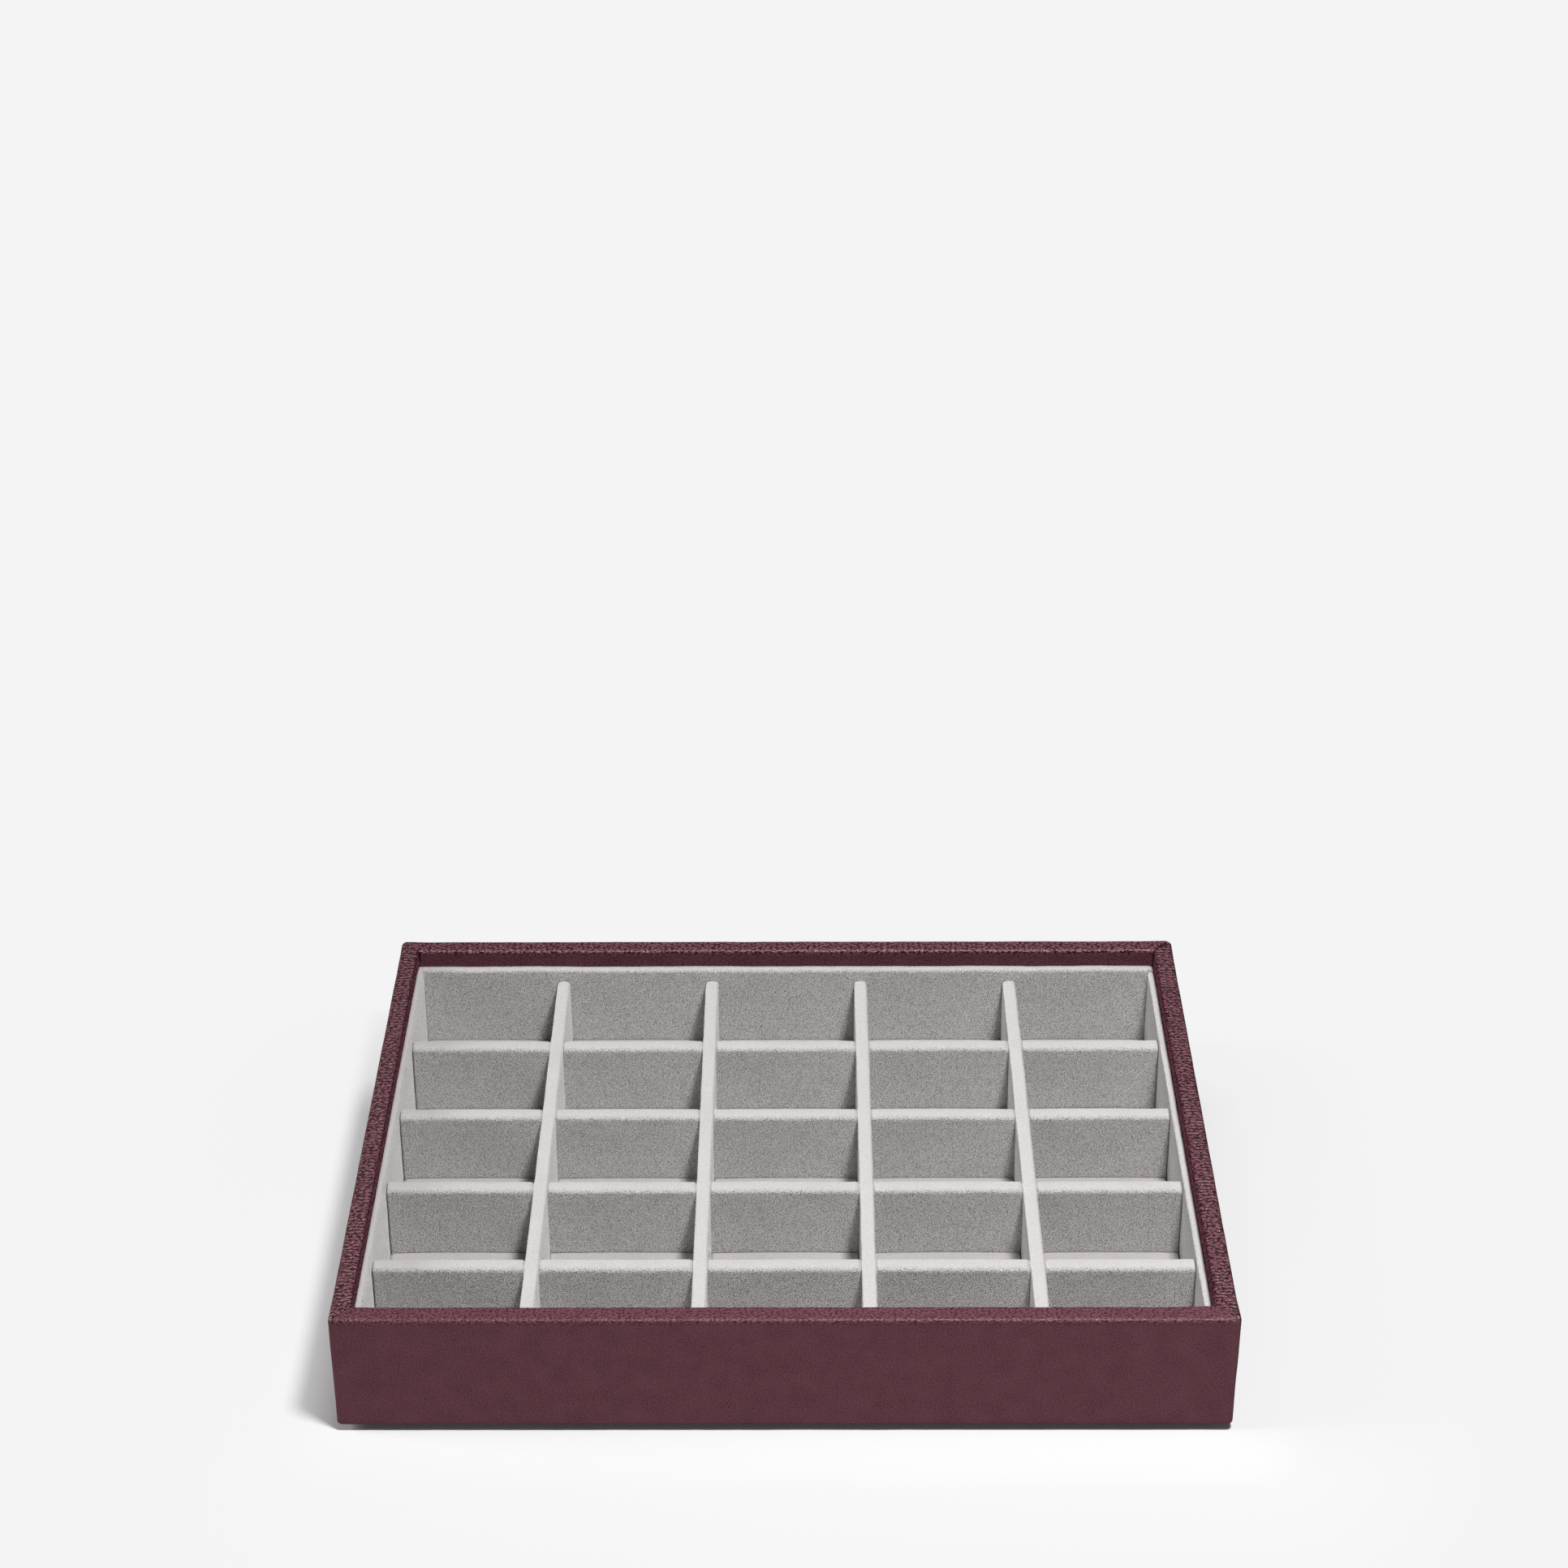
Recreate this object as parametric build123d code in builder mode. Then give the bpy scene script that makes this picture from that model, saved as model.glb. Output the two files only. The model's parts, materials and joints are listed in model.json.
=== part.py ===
import os

from build123d import *

os.makedirs("parts", exist_ok=True)

# Overall size in millimetres; the origin is the middle of the face the tray rests on,
# X runs along the width, Y towards the back and Z up
tray_width = 250.0
tray_depth = 180.0
tray_height = 40.0

# Fibreboard walls, and the strip of leatherette wrapped round them
wall_board = 4.6
cover_thickness = 0.6
corner_radius = 1.5
rim_radius_share = 0.8
foot_radius_share = 0.7
lip_radius_share = 0.6
lip_height = 16.0
mitre_slit = 0.2
corner_lap_share = 0.5
rebate_share = 0.5

# Plinth under the walls, small enough to nest in the rim of another tray
plinth_drop = 2.6
nesting_clearance = 1.0
plinth_corner_radius = 2.0
turned_edge_gap = 0.2
felt_thickness = 0.6
felt_inset = 0.5

# Floor board with a thin foam and velvet pad that swells in each compartment
floor_board = 1.5
board_clearance = 0.1
foam_flat = 0.4
foam_crown = 1.2
crown_inset = 0.8
crown_slope = 4.0
velvet_thickness = 0.7

# Velvet-covered cards that line the inside of the walls, set below the rim
liner_card = 1.4
end_liner_drop = 5.9
side_liner_drop = 7.0
liner_round_share = 0.55
liner_back_round_share = 0.2

# Velvet-covered dividers, halved into each other where they cross
divider_core = 2.7
divider_drop = 10.0
divider_round_share = 0.32
divider_end_clearance = 0.1
lap_share = 0.5
lap_clearance = 0.05
long_centre_shares = (-0.308, -0.1027, 0.1027, 0.308)
cross_centre_shares = (0.2914, 0.0825, -0.1264, -0.3353)

# How far cutting shapes run past what they cut
overrun = 1.0

# Levels and widths that follow from the sizes above
wall_width = wall_board + 2 * cover_thickness
opening_width = tray_width - 2 * wall_width
opening_depth = tray_depth - 2 * wall_width
board_width = tray_width - 2 * cover_thickness
board_depth = tray_depth - 2 * cover_thickness
board_opening_width = board_width - 2 * wall_board
board_opening_depth = board_depth - 2 * wall_board
board_bottom = plinth_drop + cover_thickness
board_top = tray_height - cover_thickness
board_height = board_top - board_bottom
board_corner_radius = corner_radius - cover_thickness
rebate = wall_board * rebate_share
corner_lap = wall_board * corner_lap_share
floor_top = board_bottom + floor_board
foam_level = floor_top + foam_flat
floor_level = foam_level + velvet_thickness
plinth_width = opening_width - 2 * nesting_clearance
plinth_depth = opening_depth - 2 * nesting_clearance
liner_thickness = liner_card + velvet_thickness
inner_width = opening_width - 2 * liner_thickness
inner_depth = opening_depth - 2 * liner_thickness
divider_thickness = divider_core + 2 * velvet_thickness
divider_height = tray_height - divider_drop - floor_level
lap_height = divider_height * lap_share
slot_width = divider_thickness + 2 * lap_clearance
long_centres = [share * inner_width for share in long_centre_shares]
cross_centres = [share * inner_depth for share in cross_centre_shares]


def compartment_spans(centres, inner_length):
    """Middle and length of each gap between dividers, from one liner to the other."""
    half = divider_thickness / 2
    inner = sorted(centres)
    lows = [-inner_length / 2] + [centre + half for centre in inner]
    highs = [centre - half for centre in inner] + [inner_length / 2]
    return [((low + high) / 2, high - low) for low, high in zip(lows, highs)]


# The space the four wall boards fill together, eased where the cover bends over it
with BuildPart() as board_block:
    with BuildSketch(Plane.XY.offset(board_bottom)):
        RectangleRounded(board_width, board_depth, board_corner_radius)
    extrude(amount=board_height)
    fillet(board_block.edges().group_by(Axis.Z)[-1], board_corner_radius * rim_radius_share)
    fillet(board_block.edges().group_by(Axis.Z)[0], board_corner_radius * foot_radius_share)

# Leatherette cover: one strip over the outside, the rim, the inner lip and the foot
with BuildPart() as leatherette_cover:
    with BuildSketch(Plane.XY.offset(plinth_drop)):
        RectangleRounded(tray_width, tray_depth, corner_radius)
    extrude(amount=tray_height - plinth_drop)
    fillet(leatherette_cover.edges().group_by(Axis.Z)[-1], corner_radius * rim_radius_share)
    fillet(leatherette_cover.edges().group_by(Axis.Z)[0], corner_radius * foot_radius_share)
    add(board_block.part, mode=Mode.SUBTRACT)
    with BuildSketch(Plane.XY.offset(tray_height - lip_height)):
        Rectangle(board_opening_width, board_opening_depth)
    extrude(amount=lip_height - cover_thickness)
    with BuildSketch(Plane.XY.offset(board_bottom)):
        Rectangle(opening_width, opening_depth)
    extrude(amount=tray_height - board_bottom, mode=Mode.SUBTRACT)
    rim_face = leatherette_cover.faces().sort_by(Axis.Z)[-1]
    fillet(rim_face.inner_wires().edges(), corner_radius * lip_radius_share)
    with BuildSketch(Plane.XY.offset(plinth_drop)):
        Rectangle(plinth_width + 2 * turned_edge_gap, plinth_depth + 2 * turned_edge_gap)
    extrude(amount=cover_thickness, mode=Mode.SUBTRACT)
    # Mitre slits across the rim and down the lip, one at each corner
    for side_x, side_y in ((1, 1), (-1, 1), (-1, -1), (1, -1)):
        diagonal = Plane(
            origin=(side_x * opening_width / 2, side_y * opening_depth / 2, board_top),
            x_dir=(side_x, side_y, 0),
            z_dir=(0, 0, 1),
        )
        with BuildSketch(diagonal):
            Rectangle(4 * wall_width, mitre_slit)
        extrude(amount=cover_thickness + overrun, mode=Mode.SUBTRACT)
        with BuildSketch(diagonal):
            Rectangle(4 * cover_thickness, mitre_slit)
        extrude(amount=cover_thickness - lip_height, mode=Mode.SUBTRACT)
leatherette_cover.part.label = "leatherette_cover"
export_step(leatherette_cover.part, "parts/leatherette_cover.step")

# Front and back wall boards: full width, rabbeted at the ends for the side boards
for name, side in (("front_wall_board", -1), ("back_wall_board", 1)):
    with BuildPart() as end_board:
        add(board_block.part)
        with BuildSketch(Plane.XY.offset(board_bottom)):
            with Locations((0, side * (board_depth - wall_board) / 2)):
                Rectangle(board_width, wall_board)
        extrude(amount=board_height, mode=Mode.INTERSECT)
        with BuildSketch(Plane.XY.offset(board_bottom)):
            Rectangle(board_opening_width + 2 * rebate, board_opening_depth + 2 * rebate)
        extrude(amount=floor_board, mode=Mode.SUBTRACT)
        with BuildSketch(Plane.XY.offset(board_bottom)):
            with GridLocations(board_width - wall_board, board_depth, 2, 1):
                Rectangle(wall_board, board_depth - 2 * corner_lap)
        extrude(amount=board_height, mode=Mode.SUBTRACT)
    end_board.part.label = name
    export_step(end_board.part, f"parts/{name}.step")

# Side wall boards, tucked into the rabbets of the front and back boards
for name, side in (("left_wall_board", -1), ("right_wall_board", 1)):
    with BuildPart() as side_board:
        add(board_block.part)
        with BuildSketch(Plane.XY.offset(board_bottom)):
            with Locations((side * (board_width - wall_board) / 2, 0)):
                Rectangle(wall_board, board_depth - 2 * corner_lap)
        extrude(amount=board_height, mode=Mode.INTERSECT)
        with BuildSketch(Plane.XY.offset(board_bottom)):
            Rectangle(board_opening_width + 2 * rebate, board_opening_depth + 2 * rebate)
        extrude(amount=floor_board, mode=Mode.SUBTRACT)
    side_board.part.label = name
    export_step(side_board.part, f"parts/{name}.step")

# Floor board, let into the rebate along the foot of the walls
with BuildPart() as floor_panel:
    with BuildSketch(Plane.XY.offset(board_bottom)):
        Rectangle(
            board_opening_width + 2 * rebate - 2 * board_clearance,
            board_opening_depth + 2 * rebate - 2 * board_clearance,
        )
    extrude(amount=floor_board)
floor_panel.part.label = "floor_board"
export_step(floor_panel.part, "parts/floor_board.step")

# Plinth board under the floor, inside the turned edge of the cover
with BuildPart() as plinth_board:
    with BuildSketch(Plane.XY.offset(felt_thickness)):
        RectangleRounded(plinth_width, plinth_depth, plinth_corner_radius)
    extrude(amount=board_bottom - felt_thickness)
plinth_board.part.label = "plinth_board"
export_step(plinth_board.part, "parts/plinth_board.step")

# Felt glued under the plinth, which is what the tray rests on
with BuildPart() as plinth_felt:
    with BuildSketch():
        RectangleRounded(
            plinth_width - 2 * felt_inset, plinth_depth - 2 * felt_inset, plinth_corner_radius
        )
    extrude(amount=felt_thickness)
plinth_felt.part.label = "plinth_felt"
export_step(plinth_felt.part, "parts/plinth_felt.step")


def pad_blank(bottom, top):
    """Flat sheet from wall board to wall board with a low pillow in every compartment."""
    pad_width = board_opening_width - 2 * board_clearance
    pad_depth = board_opening_depth - 2 * board_clearance
    with BuildPart() as blank:
        with BuildSketch(Plane.XY.offset(bottom)):
            Rectangle(pad_width, pad_depth)
        extrude(amount=top - bottom)
        for middle_x, length_x in compartment_spans(long_centres, inner_width):
            for middle_y, length_y in compartment_spans(cross_centres, inner_depth):
                for rise, inset in ((0, crown_inset), (foam_crown, crown_inset + crown_slope)):
                    with BuildSketch(Plane.XY.offset(top + rise)):
                        with Locations((middle_x, middle_y)):
                            Rectangle(length_x - 2 * inset, length_y - 2 * inset)
                loft()
    return blank.part


# Foam sheet, pinched flat under the dividers and liners and swelling between them
with BuildPart() as floor_foam:
    add(pad_blank(floor_top, foam_level))
floor_foam.part.label = "floor_foam"
export_step(floor_foam.part, "parts/floor_foam.step")

# Velvet laid over the foam
with BuildPart() as floor_velvet:
    add(pad_blank(foam_level, floor_level))
    add(floor_foam.part, mode=Mode.SUBTRACT)
floor_velvet.part.label = "floor_velvet"
export_step(floor_velvet.part, "parts/floor_velvet.step")

# Liners: on each sketch plane x points away from the wall and y points up
half_x = opening_width / 2
half_y = opening_depth / 2
liners = {
    "left": (Plane((-half_x, 0, floor_level), (1, 0, 0), (0, -1, 0)), opening_depth, side_liner_drop),
    "right": (Plane((half_x, 0, floor_level), (-1, 0, 0), (0, 1, 0)), opening_depth, side_liner_drop),
    "front": (Plane((0, -half_y, floor_level), (0, 1, 0), (1, 0, 0)), inner_width, end_liner_drop),
    "back": (Plane((0, half_y, floor_level), (0, -1, 0), (-1, 0, 0)), inner_width, end_liner_drop),
}
for name, (plane, length, drop) in liners.items():
    liner_height = tray_height - drop - floor_level
    card_height = liner_height - velvet_thickness

    with BuildPart() as liner_board:
        with BuildSketch(plane):
            with Locations((liner_card / 2, card_height / 2)):
                Rectangle(liner_card, card_height)
        extrude(amount=length / 2, both=True)
    liner_board.part.label = f"{name}_liner_card"
    export_step(liner_board.part, f"parts/{name}_liner_card.step")

    with BuildPart() as liner_velvet:
        with BuildSketch(plane) as profile:
            with Locations((liner_thickness / 2, liner_height / 2)):
                Rectangle(liner_thickness, liner_height)
            top_corners = profile.vertices().group_by(Axis.Y)[-1].sort_by(Axis.X)
            fillet(top_corners[-1], liner_thickness * liner_round_share)
            top_corners = profile.vertices().group_by(Axis.Y)[-1].sort_by(Axis.X)
            fillet(top_corners[0], liner_thickness * liner_back_round_share)
            with Locations((liner_card / 2, card_height / 2)):
                Rectangle(liner_card, card_height, mode=Mode.SUBTRACT)
        extrude(amount=length / 2, both=True)
    liner_velvet.part.label = f"{name}_liner_velvet"
    export_step(liner_velvet.part, f"parts/{name}_liner_velvet.step")


def divider_blank(plane, length, sleeve):
    """Core of a divider, or with sleeve its velvet folded over the top edge."""
    core_height = divider_height - velvet_thickness
    with BuildPart() as blank:
        with BuildSketch(plane) as profile:
            if sleeve:
                with Locations((0, divider_height / 2)):
                    Rectangle(divider_thickness, divider_height)
                fillet(profile.vertices().group_by(Axis.Y)[-1], divider_thickness * divider_round_share)
                with Locations((0, core_height / 2)):
                    Rectangle(divider_core, core_height, mode=Mode.SUBTRACT)
            else:
                with Locations((0, core_height / 2)):
                    Rectangle(divider_core, core_height)
        extrude(amount=length / 2, both=True)
    return blank.part


# Long dividers run unbroken from front to back; their slots open downwards
long_length = inner_depth - 2 * divider_end_clearance
for number, middle_x in enumerate(long_centres, start=1):
    plane = Plane((middle_x, 0, floor_level), (1, 0, 0), (0, -1, 0))
    for kind, sleeve in (("core", False), ("velvet", True)):
        with BuildPart() as long_divider:
            add(divider_blank(plane, long_length, sleeve))
            with BuildSketch(Plane.XY.offset(floor_level)):
                with Locations(*[(middle_x, middle_y) for middle_y in cross_centres]):
                    Rectangle(divider_thickness + 2 * overrun, slot_width)
            extrude(amount=lap_height, mode=Mode.SUBTRACT)
        long_divider.part.label = f"long_divider_{kind}_{number}"
        export_step(long_divider.part, f"parts/long_divider_{kind}_{number}.step")

# Cross dividers run from side to side under them; their slots open upwards
cross_length = inner_width - 2 * divider_end_clearance
for number, middle_y in enumerate(cross_centres, start=1):
    plane = Plane((0, middle_y, floor_level), (0, 1, 0), (1, 0, 0))
    for kind, sleeve in (("core", False), ("velvet", True)):
        with BuildPart() as cross_divider:
            add(divider_blank(plane, cross_length, sleeve))
            with BuildSketch(Plane.XY.offset(floor_level + lap_height - lap_clearance)):
                with Locations(*[(middle_x, middle_y) for middle_x in long_centres]):
                    Rectangle(slot_width, divider_thickness + 2 * overrun)
            extrude(amount=divider_height, mode=Mode.SUBTRACT)
        cross_divider.part.label = f"cross_divider_{kind}_{number}"
        export_step(cross_divider.part, f"parts/cross_divider_{kind}_{number}.step")
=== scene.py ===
import json
import math

import bpy
import numpy as np
from mathutils import Matrix, Vector


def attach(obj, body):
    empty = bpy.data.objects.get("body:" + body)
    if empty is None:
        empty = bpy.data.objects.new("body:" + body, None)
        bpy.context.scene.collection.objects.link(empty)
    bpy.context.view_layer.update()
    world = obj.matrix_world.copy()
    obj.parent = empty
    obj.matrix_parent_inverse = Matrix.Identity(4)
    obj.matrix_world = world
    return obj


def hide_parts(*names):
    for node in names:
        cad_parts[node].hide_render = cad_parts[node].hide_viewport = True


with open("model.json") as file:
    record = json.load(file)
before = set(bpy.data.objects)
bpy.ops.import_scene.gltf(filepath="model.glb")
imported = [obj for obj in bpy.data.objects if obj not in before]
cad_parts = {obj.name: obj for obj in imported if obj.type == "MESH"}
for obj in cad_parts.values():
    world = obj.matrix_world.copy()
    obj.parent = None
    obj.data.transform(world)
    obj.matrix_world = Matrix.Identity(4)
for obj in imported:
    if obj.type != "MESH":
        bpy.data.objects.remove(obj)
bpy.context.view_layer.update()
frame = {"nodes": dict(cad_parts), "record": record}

mm = 0.001
# the CAD part's sizes in mm, which the pieces below follow
tray = {"width": 250.0, "depth": 180.0, "height": 40.0, "wall": 5.8, "liner": 2.1, "velvet": 0.7}
innerWidth = tray["width"] - 2 * tray["wall"] - 2 * tray["liner"]
innerDepth = tray["depth"] - 2 * tray["wall"] - 2 * tray["liner"]


# fitted to the tray's edges, with the optical centre on pixel row 600 of 1932; place in mm, angles in degrees
view = {"lens": 71.19, "place": (5.63, -746.9, 623.0), "pitch": 26.54, "yaw": 0.382, "roll": -0.309,
        "shiftY": -0.1894, "clip": (0.01, 20.0)}


def makeCamera():
    camera = bpy.data.objects.new("studioCamera", bpy.data.cameras.new("studioCamera"))
    camera.data.lens = view["lens"]
    camera.data.shift_y = view["shiftY"]
    camera.data.clip_start, camera.data.clip_end = view["clip"]
    turn = (Matrix.Rotation(math.radians(view["yaw"]), 4, "Z")
            @ Matrix.Rotation(math.radians(90 - view["pitch"]), 4, "X")
            @ Matrix.Rotation(math.radians(view["roll"]), 4, "Z"))
    camera.matrix_world = Matrix.Translation(Vector(view["place"]) * mm) @ turn
    bpy.context.collection.objects.link(camera)
    bpy.context.scene.camera = camera
    print("camera: lens", view["lens"], "mm")


# sRGB hex to linear: below 0.04045 divided by 12.92, above it the 2.4 power curve
def hexColour(text):
    parts = [int(text[i:i + 2], 16) / 255 for i in (1, 3, 5)]
    return tuple(p / 12.92 if p <= 0.04045 else ((p + 0.055) / 1.055) ** 2.4 for p in parts) + (1.0,)


# One node with its settings. Its kind is written without ShaderNode. An input is a value, or what it is
# linked to: a socket, or a node, whose first output is taken.
def addNode(tree, kind, inputs=None, **settings):
    node = tree.nodes.new("ShaderNode" + kind)
    for name, value in settings.items():
        setattr(node, name, value)
    for socket, value in (inputs or {}).items():
        if isinstance(value, bpy.types.Node):
            value = value.outputs[0]
        if isinstance(value, bpy.types.NodeSocket):
            tree.links.new(value, node.inputs[socket])
        else:
            node.inputs[socket].default_value = value
    return node


def newMaterial(name):
    material = bpy.data.materials.new(name)
    material.use_nodes = True
    material.node_tree.nodes.clear()
    return material, material.node_tree


# puts the colours of stops, (position, hex), on a colour ramp
def setRamp(node, stops):
    ramp = node.color_ramp
    while len(ramp.elements) < len(stops):
        ramp.elements.new(0.5)
    for element, (position, colour) in zip(ramp.elements, stops):
        element.position, element.color = position, hexColour(colour)


studio = {
    # place in mm, angles in degrees, sizes of the key and the floor in m
    "backdrop": "#f4f4f4", "ambient": 0.09,
    "inGloss": 0.12,  # gloss sees this share of the room and the floor, so that leatherette gets no grey veil
    "keyPlace": (190.0, -275.0, 930.0), "keySize": 0.15, "keyPower": 11.2,
    "softboxStrength": 0.03, "softboxAngle": 50.0,
    "cardStrength": 1.1, "cardAngle": 40.0, "cardBack": 18.0,
    "fillStrength": 1.8, "fillAngle": 24.0, "fillHeight": 28.0,
    "floorSize": 8.0, "floorShade": 0.75,
    # how much of the floor's own colour the camera sees, by distance as a share of glowReach in mm, measured
    # from a box as wide as the tray, which runs from its front to twice glowForward short of its back
    "glowReach": 250.0, "glowForward": 20.0,
    "floorGlow": [(0.0, "#303030"), (0.035, "#949494"), (0.09, "#dedede"), (0.3, "#ffffff")],
}


def makeWorld():
    world = bpy.data.worlds.new("paleStudio")
    world.use_nodes = True
    tree = world.node_tree
    tree.nodes.clear()
    ray = addNode(tree, "LightPath")
    inGloss = addNode(tree, "MapRange", {
        "Value": ray.outputs["Is Glossy Ray"], "To Min": studio["ambient"],
        "To Max": studio["ambient"] * studio["inGloss"]})
    dim = addNode(tree, "Background", {"Color": (1, 1, 1, 1), "Strength": inGloss})
    seen = addNode(tree, "Background", {"Color": hexColour(studio["backdrop"]), "Strength": 1.0})
    mix = addNode(tree, "MixShader", {0: ray.outputs["Is Camera Ray"], 1: dim, 2: seen})
    addNode(tree, "OutputWorld", {"Surface": mix})
    bpy.context.scene.world = world
    print("world: dim room behind a pale backdrop")


def addLamp(name, kind, energy, **settings):
    lamp = bpy.data.objects.new(name, bpy.data.lights.new(name, kind))
    lamp.data.energy = energy
    for setting, value in settings.items():
        setattr(lamp.data, setting, value)
    bpy.context.collection.objects.link(lamp)
    return lamp


def makeLights():
    # a small disc about 0.9 m up, in front on the right: in-cell shadows get wider from right to left
    key = addLamp("keyLight", "AREA", studio["keyPower"], shape="DISK", size=studio["keySize"])
    place = Vector(studio["keyPlace"]) * mm
    key.matrix_world = Matrix.Translation(place) @ place.to_track_quat("Z", "Y").to_matrix().to_4x4()
    addLamp("overheadSoftbox", "SUN", studio["softboxStrength"], angle=math.radians(studio["softboxAngle"]))
    # a white card behind the table, which only glossy surfaces reflect
    card = addLamp("whiteCard", "SUN", studio["cardStrength"], angle=math.radians(studio["cardAngle"]))
    card.rotation_euler.x = math.radians(-studio["cardBack"])
    card.visible_diffuse = False
    # a weak fill from the left, which brightens the faces that look left
    fill = addLamp("leftFill", "SUN", studio["fillStrength"], angle=math.radians(studio["fillAngle"]))
    fill.rotation_euler.y = math.radians(studio["fillHeight"] - 90)
    print("lights: key, softbox, card and fill")


# Matt painted table top with no gloss of its own. It takes the tray's shadow, and away from the tray the
# camera sees its plain colour instead.
def makeFloorPaint():
    material, tree = newMaterial("matPaintedFloor")
    ray = addNode(tree, "LightPath")
    dimmed = addNode(tree, "MapRange", {
        "Value": ray.outputs["Is Glossy Ray"], "To Min": studio["floorShade"],
        "To Max": studio["inGloss"] * studio["floorShade"]})
    shade = addNode(tree, "VectorMath", {0: hexColour(studio["backdrop"])[:3],
                                         "Scale": dimmed}, operation="SCALE")
    paint = addNode(tree, "BsdfDiffuse", {"Color": shade})
    glow = addNode(tree, "Emission", {"Color": hexColour(studio["backdrop"]), "Strength": 1.0})
    place = addNode(tree, "TexCoord").outputs["Object"]
    forward = studio["glowForward"]  # the shadow fades out towards the back
    moved = addNode(tree, "VectorMath", {0: place, 1: (0.0, forward * mm, 0.0)}, operation="ADD")
    folded = addNode(tree, "VectorMath", {0: moved}, operation="ABSOLUTE")
    corner = (tray["width"] / 2 * mm, (tray["depth"] / 2 - forward) * mm, 0.0)
    past = addNode(tree, "VectorMath", {0: folded, 1: corner}, operation="SUBTRACT")
    outside = addNode(tree, "VectorMath", {0: past, 1: (0, 0, 0)}, operation="MAXIMUM")
    away = addNode(tree, "VectorMath", {0: outside}, operation="LENGTH")
    distance = addNode(tree, "MapRange", {
        "Value": away.outputs["Value"], "From Max": studio["glowReach"] * mm})
    even = addNode(tree, "ValToRGB", {"Fac": distance})  # shadows stay, the rest is even
    setRamp(even, studio["floorGlow"])
    share = addNode(tree, "Math", {0: ray.outputs["Is Camera Ray"], 1: even}, operation="MULTIPLY")
    mix = addNode(tree, "MixShader", {0: share, 1: paint, 2: glow})
    addNode(tree, "OutputMaterial", {"Surface": mix})
    return material


def makeFloor():
    half = studio["floorSize"] / 2
    mesh = bpy.data.meshes.new("studioFloor")
    outline = [(-half, -half, 0), (half, -half, 0), (half, half, 0), (-half, half, 0)]
    mesh.from_pydata(outline, [], [(0, 1, 2, 3)])
    mesh.materials.append(makeFloorPaint())
    floor = bpy.data.objects.new("studioFloor", mesh)
    bpy.context.collection.objects.link(floor)
    print("floor: matt paint")


bpy.context.scene.view_settings.view_transform = "Standard"
makeCamera()
makeWorld()
makeLights()
makeFloor()


noiseRange = (0.3, 0.7)  # most of a noise's values lie between these
waveRows = 0.314  # a Wave texture's rows lie this far apart at a Scale of 1

grain = {
    # domes in mm: their size, how much longer they are than wide, and as shares their creases and unlikeness
    "pebble": 1.4, "stretch": 1.4, "crease": 0.55, "unlike": 0.8,
    "warp": 2.2, "warpBy": 0.55,  # bends the domes, in mm
    "rows": 1.45, "rowBend": 4.5, "rowBreaks": 2.6,  # rows that the domes run together into, in mm
    "patch": 0.9, "patchRange": (0.36, 0.64), "deep": 1.4, "faint": 0.5,  # deep and faint valleys
    "wrinkle": 0.6, "wrinkleHeight": 0.15, "wrinkleTone": 1.2, "bumpHeight": 0.18,
    # valley is the colour that the creases are painted towards, as shade
    "skin": "#6c434d", "valley": "#2a1219", "creaseShadeRange": (0.2, 0.85),
    "mottle": 9.0, "mottleTone": (0.37, 0.48), "seamAndShadeDepth": 0.8,
    "roughness": 0.38, "shine": 0.75, "shineTint": "#ffdcd6",
}
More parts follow.
